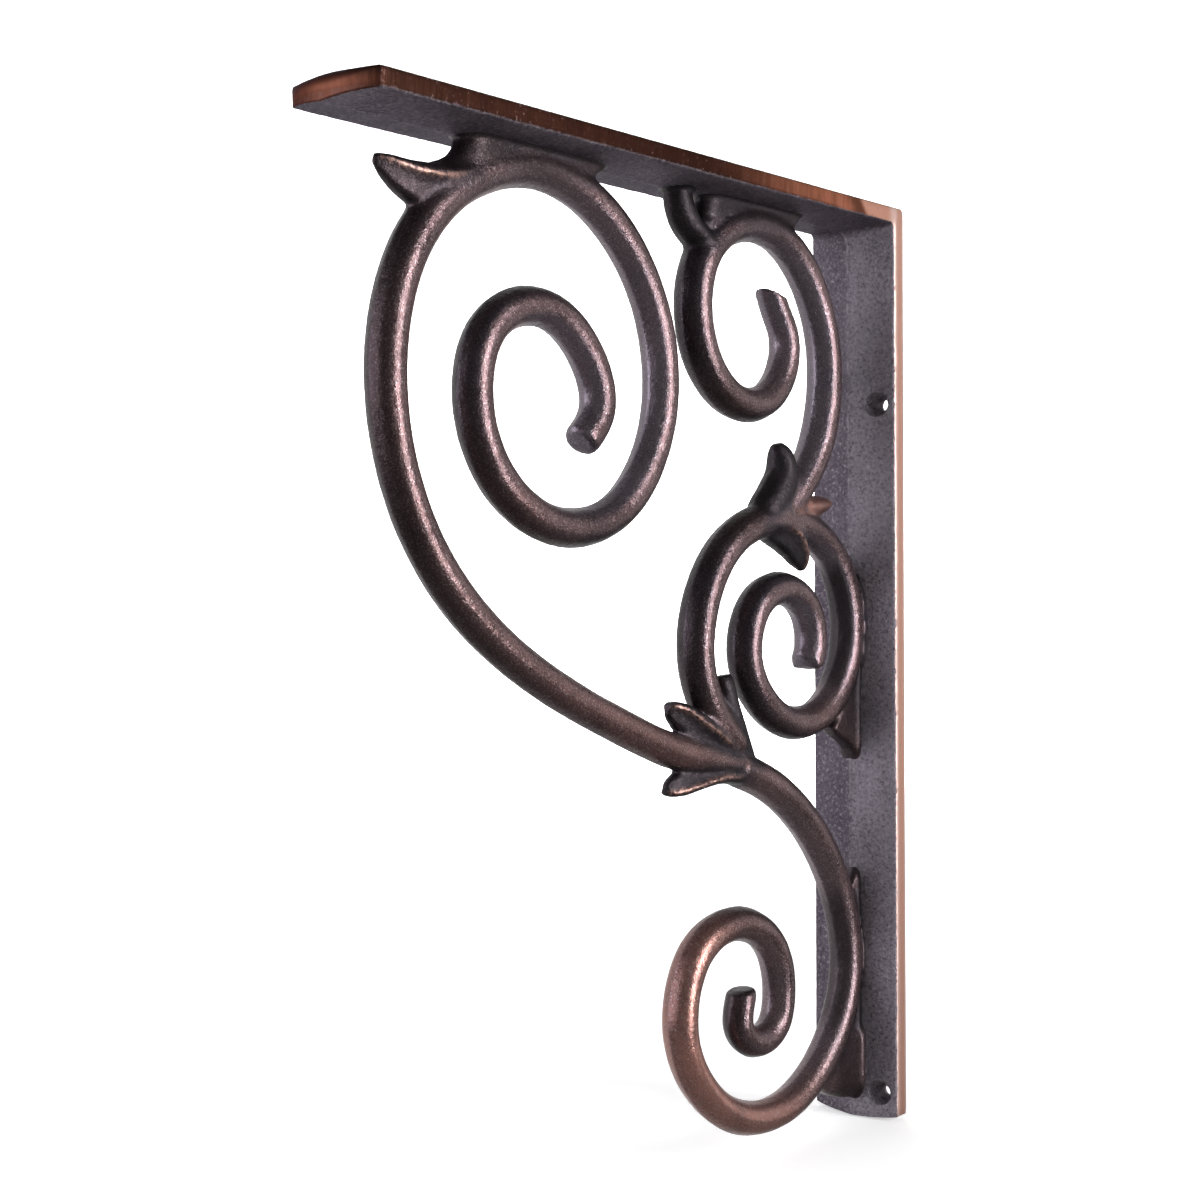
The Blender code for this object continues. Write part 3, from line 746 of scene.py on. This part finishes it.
class Shade:
    """Writes a material's nodes in few words."""

    def __init__(self, name):
        self.mat = bpy.data.materials.new(name)
        self.mat.use_nodes = True
        self.tree = self.mat.node_tree
        self.shader = self.tree.nodes["Principled BSDF"]

    def put(self, socket, value):
        """Links a socket or sets a number or colour on it."""
        if isinstance(value, bpy.types.NodeSocket):
            self.tree.links.new(value, socket)
        else:
            socket.default_value = value

    def math(self, what, a, b=0.0):
        """Returns one sum of two values."""
        node = self.tree.nodes.new("ShaderNodeMath")
        node.operation = what
        self.put(node.inputs[0], a)
        self.put(node.inputs[1], b)
        return node.outputs[0]

    def times(self, a, b):
        """Returns the product of two values."""
        return self.math("MULTIPLY", a, b)

    def plus(self, a, b):
        """Returns two values added."""
        return self.math("ADD", a, b)

    def minus(self, a, b):
        """Returns one value less another."""
        return self.math("SUBTRACT", a, b)

    def rest_of(self, a):
        """Returns one less the value."""
        return self.math("SUBTRACT", 1.0, a)

    def most(self, a, b):
        """Returns the greater of two values."""
        return self.math("MAXIMUM", a, b)

    def size_of(self, a):
        """Returns the value without its sign."""
        return self.math("ABSOLUTE", a)

    def ease(self, value, low, high, start=0.0, end=1.0):
        """Returns a smooth step from low to high."""
        node = self.tree.nodes.new("ShaderNodeMapRange")
        node.interpolation_type = "SMOOTHSTEP"
        self.put(node.inputs["Value"], value)
        node.inputs["From Min"].default_value = low
        node.inputs["From Max"].default_value = high
        node.inputs["To Min"].default_value = start
        node.inputs["To Max"].default_value = end
        return node.outputs["Result"]

    def mix(self, share, a, b):
        """Returns a blend of two colours."""
        node = self.tree.nodes.new("ShaderNodeMix")
        node.data_type = "RGBA"
        self.put(node.inputs[0], share)
        for socket, value in ((node.inputs[6], a), (node.inputs[7], b)):
            self.put(socket, value if isinstance(value, bpy.types.NodeSocket) else (*value, 1.0))
        return node.outputs[2]

    def noise(self, scale, detail, rough, where=None):
        """Returns a cloud of noise from 0 to 1."""
        node = self.tree.nodes.new("ShaderNodeTexNoise")
        self.put(node.inputs["Vector"], where or self.place)
        node.inputs["Scale"].default_value = scale
        node.inputs["Detail"].default_value = detail
        node.inputs["Roughness"].default_value = rough
        return node.outputs["Fac"]

    def attribute(self, name):
        """Returns a number stored on the mesh."""
        node = self.tree.nodes.new("ShaderNodeAttribute")
        node.attribute_name = name
        return node.outputs["Fac"]

    def stretched(self, factors):
        """Returns the place with each axis scaled, for grain that runs one way."""
        node = self.tree.nodes.new("ShaderNodeMapping")
        self.put(node.inputs["Vector"], self.place)
        node.inputs["Scale"].default_value = factors
        return node.outputs[0]

    def bump(self, height, distance, strength, under=None):
        """Returns a normal raised by the height."""
        node = self.tree.nodes.new("ShaderNodeBump")
        node.inputs["Distance"].default_value = distance
        self.put(node.inputs["Strength"], strength)
        self.put(node.inputs["Height"], height)
        if under is not None:
            self.put(node.inputs["Normal"], under)
        return node.outputs[0]

    def start(self):
        """Sets up the place and the facing that the masks read."""
        coord = self.tree.nodes.new("ShaderNodeTexCoord")
        self.place = coord.outputs["Object"]
        spot = self.tree.nodes.new("ShaderNodeSeparateXYZ")
        self.put(spot.inputs[0], self.place)
        self.x, self.y, self.z = spot.outputs
        facing = self.tree.nodes.new("ShaderNodeSeparateXYZ")
        self.put(facing.inputs[0], coord.outputs["Normal"])
        self.nx, self.ny, self.nz = facing.outputs


# the height of the top face in the frame in metres, and mm in a metre
TOP = HEIGHT / 2 * MM
IN_MM = 1000.0

# colours of the cast iron, from the darkest skin to its bright specks, and of the painted light and shade
# on it
INK = (0.040, 0.034, 0.045)
DUSK = (0.088, 0.074, 0.094)
SLATE = (0.21, 0.18, 0.21)
GRIT = (0.34, 0.31, 0.35)
# painted light on the near half of the wall plate's front
PAINTED_LIGHT_IRON = (0.40, 0.36, 0.41)
# painted highlight along the seam of the wall plate
PAINTED_SEAM_HIGHLIGHT = (0.45, 0.42, 0.45)
SPARK = (0.5, 0.46, 0.5)
# near black of the painted shade on the scrollwork
PAINTED_SHADE_BLACK = (0.016, 0.012, 0.013)

# colours of the rubbed bars
UMBER = (0.180, 0.082, 0.062)
RUBBED = (0.42, 0.195, 0.150)
CLAY = (0.52, 0.385, 0.355)
ROSE = (0.58, 0.34, 0.27)

# colours of the ground and brushed edges, and of the painted reflections, highlights and shade on them
BROWN = (0.22, 0.080, 0.046)
COPPER = (0.32, 0.118, 0.070)
# painted reflection on the side of the wall plate and round the corner
PAINTED_CORNER_REFLECTION = (0.50, 0.26, 0.190)
# painted highlight along the edges of the wall plate's side
PAINTED_SIDE_HIGHLIGHT = (0.66, 0.49, 0.45)
# painted highlight along the ragged edge of the ground sides
PAINTED_RIM_HIGHLIGHT = (0.45, 0.31, 0.28)
# painted shade on the top plate's side, deepening towards the front end
PAINTED_SIDE_SHADE = (0.012, 0.0045, 0.003)
# painted shade in a band on the top plate's side just short of the corner
PAINTED_BAND_SHADE = (0.05, 0.022, 0.014)
# painted shade along the lower edge of the top plate's side
PAINTED_EDGE_SHADE = (0.014, 0.006, 0.005)
END_BROWN = (0.075, 0.026, 0.016)
# darker colour of the rounded top of the front end
END_TOP_DARK = (0.025, 0.012, 0.010)


def cast_grain(s, level, grain):
    """Adds the sand-cast grain."""
    first = s.bump(s.noise(420.0, 2.0, 0.5), 0.00022, level)
    return s.bump(grain, 0.00012, level, first)


def scroll_material():
    """Dark bronzed iron, sandy, rubbed to copper along the crests and on the outer bars; painted shade
    darkens the leaves, hollows, the places under the top plate and by the wall, and faces turned out of the
    curls, and painted light lifts faces turned into them.
    """
    s = Shade("bronzed_iron_scrollwork")
    s.start()
    clouds = s.noise(50.0, 4.0, 0.6)
    fine = s.noise(520.0, 3.0, 0.6)
    grain = s.noise(1750.0, 1.0, 0.6)
    speck = s.ease(grain, 0.48, 0.78)
    facing = s.size_of(s.nx)
    facing = s.plus(facing, s.times(s.minus(fine, 0.5), 0.3))
    out = s.times(s.size_of(s.x), IN_MM)
    bend = s.attribute("bend")
    rub = s.attribute("rub")
    leafy = s.attribute("leafy")
    inward = s.attribute("inward")
    ridge = s.times(s.ease(bend, 0.055, 0.14), s.ease(out, 2.0, 4.5))
    ridge = s.times(ridge, s.ease(s.y, -0.018, -0.024))
    ridge = s.most(ridge, s.times(s.attribute("leaf_crest"), s.ease(fine, 0.35, 0.55, 0.4, 1.0)))
    hollow = s.ease(bend, 0.0, -0.05)
    under = s.ease(s.z, TOP - 0.019, TOP - 0.013)
    root = s.times(s.ease(s.y, -0.032, -0.024), s.ease(out, 5.9, 4.6))
    under = s.most(under, root)
    # where shade is painted: the leaves, under the top plate, the roots by the wall, and hollows
    painted_shade_zone = s.most(s.most(leafy, under), hollow)
    crest = s.times(s.ease(facing, 0.74, 0.98), s.ease(out, 3.4, 5.6))
    crest = s.times(crest, s.rest_of(s.times(painted_shade_zone, 0.8)))
    broad = s.times(rub, s.ease(facing, -0.2, 0.7, 0.35, 0.9))
    behind = s.times(s.ease(s.ny, 0.0, 0.55, 0.0, 0.75), s.rest_of(painted_shade_zone))
    worn = s.most(s.most(s.times(crest, 0.4), behind), s.most(broad, ridge))
    worn = s.times(worn, s.ease(clouds, 0.25, 0.6, 0.6, 1.0))
    worn = s.times(worn, s.rest_of(hollow))
    dark = s.mix(s.ease(clouds, 0.35, 0.65), INK, DUSK)
    # painted light on faces turned into their curl
    dark = s.mix(s.times(s.ease(inward, 0.2, 0.9), 0.55), dark, SLATE)
    dark = s.mix(s.times(speck, 0.4), dark, GRIT)
    warm = s.mix(s.ease(rub, 0.6, 0.95), UMBER, RUBBED)
    warm = s.mix(s.times(speck, 0.8), warm, CLAY)
    warm = s.mix(s.times(ridge, 0.7), warm, ROSE)
    skin = s.mix(worn, dark, warm)
    # painted shade on unrubbed faces turned out of their curl
    kept = s.rest_of(s.ease(rub, 0.55, 0.9))
    skin = s.mix(s.times(s.times(s.ease(inward, -0.2, -0.9), 0.7), kept), skin, PAINTED_SHADE_BLACK)
    # painted shade over those places, less on ridges and rubbed bars
    shade = s.times(s.rest_of(s.most(ridge, s.times(rub, 0.6))), painted_shade_zone)
    skin = s.mix(s.times(shade, 0.84), skin, PAINTED_SHADE_BLACK)
    s.put(s.shader.inputs["Base Color"], skin)
    s.shader.inputs["Metallic"].default_value = 0.85
    rough = s.plus(s.ease(fine, 0.2, 0.8, 0.24, 0.40), s.times(shade, 0.14))
    s.put(s.shader.inputs["Roughness"], rough)
    level = s.rest_of(s.times(worn, 0.5))
    s.put(s.shader.inputs["Normal"], cast_grain(s, level, grain))
    return s.mat


def plate_material():
    """The same iron on the plates: sandy inside, ground and brushed along the sides and the front end, with
    painted highlights, reflections and shade on the sides and painted light and shadow on the inner faces.
    """
    s = Shade("bronzed_iron_plates")
    s.start()
    clouds = s.noise(38.0, 4.0, 0.6)
    fine = s.noise(520.0, 3.0, 0.6)
    grain = s.noise(1750.0, 1.0, 0.6)
    lump = s.noise(800.0, 4.0, 0.75)
    out = s.times(s.size_of(s.x), IN_MM)
    ragged = s.minus(s.noise(700.0, 3.0, 0.7), 0.5)
    rag = s.times(ragged, 0.5)
    coarse = s.times(s.minus(s.noise(260.0, 3.0, 0.7), 0.5), 2.4)
    behind = s.plus(s.times(s.y, IN_MM), WALL_EDGE)
    above = s.plus(s.times(s.z, IN_MM), TOP_EDGE - HEIGHT / 2)
    inset = s.most(behind, above)
    side = s.ease(s.plus(s.size_of(s.nx), rag), 0.78, 0.95)
    side = s.times(side, s.ease(out, 17.4, 18.2))
    side = s.times(side, s.ease(s.plus(inset, s.plus(coarse, ragged)), -0.3, 0.25))
    end = s.ease(s.minus(s.times(s.ny, -1.0), rag), 0.25, 0.5)
    end = s.times(end, s.ease(s.y, -0.262, -0.268))
    ground = s.most(side, end)
    brush = s.noise(60.0, 5.0, 0.65, s.stretched((14.0, 14.0, 1.2)))
    streak = s.noise(30.0, 3.0, 0.6, s.stretched((6.0, 6.0, 0.7)))
    dark = s.mix(s.ease(clouds, 0.3, 0.6, 0.25, 1.0), DUSK, SLATE)
    inner = s.ease(s.math("MINIMUM", s.ny, s.nz), -0.2, -0.6)
    near = s.times(s.ease(s.ny, -0.4, -0.8), s.ease(s.x, -0.001, 0.002))
    # painted shadow on the far half of the inner faces, and painted light on the near half of the wall
    # plate's front
    dark = s.mix(s.times(s.ease(s.x, 0.001, -0.003, 0.0, 0.55), inner), dark, DUSK)
    dark = s.mix(s.times(near, 0.45), dark, PAINTED_LIGHT_IRON)
    dark = s.mix(s.times(s.ease(lump, 0.5, 0.34), 0.6), dark, INK)
    dark = s.mix(s.times(s.ease(lump, 0.52, 0.70), 0.6), dark, SPARK)
    # painted highlight along the raised seam down the middle of the inner faces
    seam = s.plus(s.times(s.x, IN_MM), s.times(s.minus(clouds, 0.5), 1.6))
    broken = s.ease(s.noise(110.0, 3.0, 0.6), 0.46, 0.6)
    line = s.times(s.ease(s.size_of(seam), 0.9, 0.1), s.times(broken, inner))
    dark = s.mix(s.times(line, 0.3), dark, PAINTED_SEAM_HIGHLIGHT)
    metal = s.mix(s.ease(streak, 0.35, 0.65), BROWN, COPPER)
    metal = s.mix(s.times(s.ease(brush, 0.5, 0.9), 0.5), metal, ROSE)
    # painted shade on the top plate's side towards the front end, a painted darker band, then a painted
    # reflection round the corner
    drop = s.most(s.minus(s.z, TOP), -TOP_EDGE * MM)
    across = s.plus(s.y, s.times(drop, 0.8))
    toned = s.times(s.ease(across, -0.13, -0.045, 0.92, 0.0), side)
    metal = s.mix(toned, metal, PAINTED_SIDE_SHADE)
    band = s.times(s.ease(across, -0.044, -0.036), s.ease(across, -0.029, -0.034))
    metal = s.mix(s.times(band, 0.7), metal, PAINTED_BAND_SHADE)
    metal = s.mix(s.times(s.ease(across, -0.033, -0.029), side), metal, PAINTED_CORNER_REFLECTION)
    # painted highlight along both edges of the wall plate's side
    wall = s.ease(s.y, -0.012, -0.007)
    pale = s.most(s.ease(behind, 3.6, 0.8, 0.15, 0.75), s.ease(behind, 5.0, 6.4, 0.0, 0.7))
    metal = s.mix(s.times(wall, pale), metal, PAINTED_SIDE_HIGHLIGHT)
    # painted shade along the lower edge of the top plate's side
    shaded = s.times(s.ease(above, 1.8, 0.4), s.ease(across, -0.045, -0.06))
    metal = s.mix(s.times(shaded, 0.6), metal, PAINTED_EDGE_SHADE)
    # painted highlight along the ragged edge where the ground sides meet the cast faces
    rim = s.times(s.ease(inset, 1.0, 0.5), s.ease(fine, 0.35, 0.6))
    metal = s.mix(s.times(rim, 0.25), metal, PAINTED_RIM_HIGHLIGHT)
    # the front end face in a darker brown, darker still at its rounded top
    top = s.times(s.ease(s.z, TOP - 0.0042, TOP - 0.0008), end)
    metal = s.mix(s.times(end, 0.76), metal, END_BROWN)
    metal = s.mix(s.times(top, 0.85), metal, END_TOP_DARK)
    s.put(s.shader.inputs["Base Color"], s.mix(ground, dark, metal))
    s.shader.inputs["Metallic"].default_value = 0.9
    s.shader.inputs["Specular Tint"].default_value = (0.35, 0.33, 0.36, 1.0)
    s.put(s.shader.inputs["Roughness"], s.ease(fine, 0.2, 0.8, 0.34, 0.5))
    level = s.rest_of(ground)
    sandy = s.bump(lump, 0.0007, level)
    sandy = s.bump(grain, 0.00014, level, sandy)
    sandy = s.bump(line, 0.0003, level, sandy)
    s.put(s.shader.inputs["Normal"], s.bump(brush, 0.00025, s.times(ground, 0.6), sandy))
    return s.mat


def make_floor():
    """Lays a pale floor that sweeps up into a backdrop."""
    low = -HEIGHT / 2 * MM - FOOT_BULGE * MM - 0.0002
    rows = []
    for turn in np.linspace(0.0, math.pi / 2, 13):
        rows.append((2.0 + 1.0 * math.sin(turn), low + 1.0 * (1 - math.cos(turn))))
    rows = [(-1.2, low)] + rows + [(3.0, low + 3.0)]
    points = []
    for ahead, z in rows:
        for aside in (-1.5, 1.5):
            points.append((aside * math.cos(CAMERA_YAW) - ahead * math.sin(CAMERA_YAW),
                           aside * math.sin(CAMERA_YAW) + ahead * math.cos(CAMERA_YAW), z))
    faces = [(2 * i, 2 * i + 1, 2 * i + 3, 2 * i + 2) for i in range(len(rows) - 1)]
    mesh = bpy.data.meshes.new("studio_floor")
    mesh.from_pydata(points, [], faces)
    mesh.shade_smooth()
    floor = bpy.data.objects.new("studio_floor", mesh)
    bpy.context.scene.collection.objects.link(floor)
    mat = bpy.data.materials.new("pale_floor")
    mat.use_nodes = True
    shader = mat.node_tree.nodes["Principled BSDF"]
    shader.inputs["Base Color"].default_value = (0.86, 0.86, 0.86, 1.0)
    shader.inputs["Roughness"].default_value = 0.9
    shader.inputs["Emission Color"].default_value = (1.0, 1.0, 1.0, 1.0)
    shader.inputs["Emission Strength"].default_value = 0.45
    floor.visible_glossy = False
    mesh.materials.append(mat)


def make_light(name, azimuth, elevation, distance, size, power, target, tint=(1.0, 1.0, 1.0), spread=180.0):
    """Hangs a soft square light that looks at the target."""
    data = bpy.data.lights.new(name, "AREA")
    data.color = tint
    data.shape = "RECTANGLE"
    data.size, data.size_y = size
    data.energy = power
    data.spread = math.radians(spread)
    light = bpy.data.objects.new(name, data)
    a, e = math.radians(azimuth), math.radians(elevation)
    back = Vector((math.sin(a) * math.cos(e), -math.cos(a) * math.cos(e), math.sin(e)))
    light.location = Vector(target) + back * distance
    light.rotation_mode = "QUATERNION"
    light.rotation_quaternion = (-back).to_track_quat("-Z", "Y")
    bpy.context.scene.collection.objects.link(light)


def make_light_and_air():
    """Hangs the lights, and fills the air: bright on one side, dim elsewhere, white to the camera."""
    middle = (0.0, -0.12, 0.0)
    make_light("right_softbox", 104.0, 6.0, 1.6, (0.46, 1.4), 34.0, middle)
    make_light("right_fill", 152.0, 4.0, 1.8, (0.8, 1.5), 3.2, middle)
    make_light("left_softbox", -24.0, 10.0, 1.9, (2.0, 1.6), 27.0, middle, (0.93, 0.92, 1.0))
    make_light("backdrop_light", 40.0, 58.0, 2.2, (2.0, 2.0), 90.0, (-1.5, 1.7, 0.0), spread=90.0)
    world = bpy.data.worlds.new("white_air")
    world.use_nodes = True
    tree = world.node_tree
    air = tree.nodes["Background"]
    air.inputs["Color"].default_value = (1.0, 1.0, 1.0, 1.0)
    coord = tree.nodes.new("ShaderNodeTexCoord")
    turn = tree.nodes.new("ShaderNodeVectorMath")
    turn.operation = "DOT_PRODUCT"
    tree.links.new(coord.outputs["Generated"], turn.inputs[0])
    turn.inputs[1].default_value = (math.sin(BRIGHT_SIDE), -math.cos(BRIGHT_SIDE), 0.0)
    spread = tree.nodes.new("ShaderNodeMapRange")
    spread.interpolation_type = "SMOOTHSTEP"
    tree.links.new(turn.outputs["Value"], spread.inputs["Value"])
    spread.inputs["From Min"].default_value = 0.10
    spread.inputs["From Max"].default_value = 0.75
    spread.inputs["To Min"].default_value = 0.17
    spread.inputs["To Max"].default_value = 0.9
    ray = tree.nodes.new("ShaderNodeLightPath")
    seen = tree.nodes.new("ShaderNodeMath")
    seen.operation = "MAXIMUM"
    tree.links.new(ray.outputs["Is Camera Ray"], seen.inputs[0])
    tree.links.new(spread.outputs["Result"], seen.inputs[1])
    tree.links.new(seen.outputs[0], air.inputs["Strength"])
    bpy.context.scene.world = world


def make_camera():
    """Stands the camera where the photograph was taken from."""
    yaw, pitch, roll = CAMERA_YAW, CAMERA_PITCH, CAMERA_ROLL
    back = Vector((math.sin(yaw) * math.cos(pitch), -math.cos(yaw) * math.cos(pitch), math.sin(pitch)))
    level = Vector((math.cos(yaw), math.sin(yaw), 0.0))
    rise = back.cross(level)
    right = math.cos(roll) * level + math.sin(roll) * rise
    up = -math.sin(roll) * level + math.cos(roll) * rise
    data = bpy.data.cameras.new("camera")
    data.sensor_width = 36.0
    data.lens = CAMERA_LENS
    data.clip_start = 0.01
    data.clip_end = 50.0
    camera = bpy.data.objects.new("camera", data)
    camera.matrix_world = Matrix(((right.x, up.x, back.x, CAMERA_SPOT[0]),
                                  (right.y, up.y, back.y, CAMERA_SPOT[1]),
                                  (right.z, up.z, back.z, CAMERA_SPOT[2]), (0.0, 0.0, 0.0, 1.0)))
    bpy.context.scene.collection.objects.link(camera)
    bpy.context.scene.camera = camera


for old in list(bpy.data.objects):
    bpy.data.objects.remove(old)
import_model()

plates = make_plates()
plates.data.materials.append(plate_material())
scrollwork = make_scrollwork()
scrollwork.data.materials.append(scroll_material())
for piece in (plates, scrollwork):
    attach(piece, "root")
    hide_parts("bracket")

make_floor()
make_light_and_air()
make_camera()
bpy.context.scene.view_settings.view_transform = "Standard"
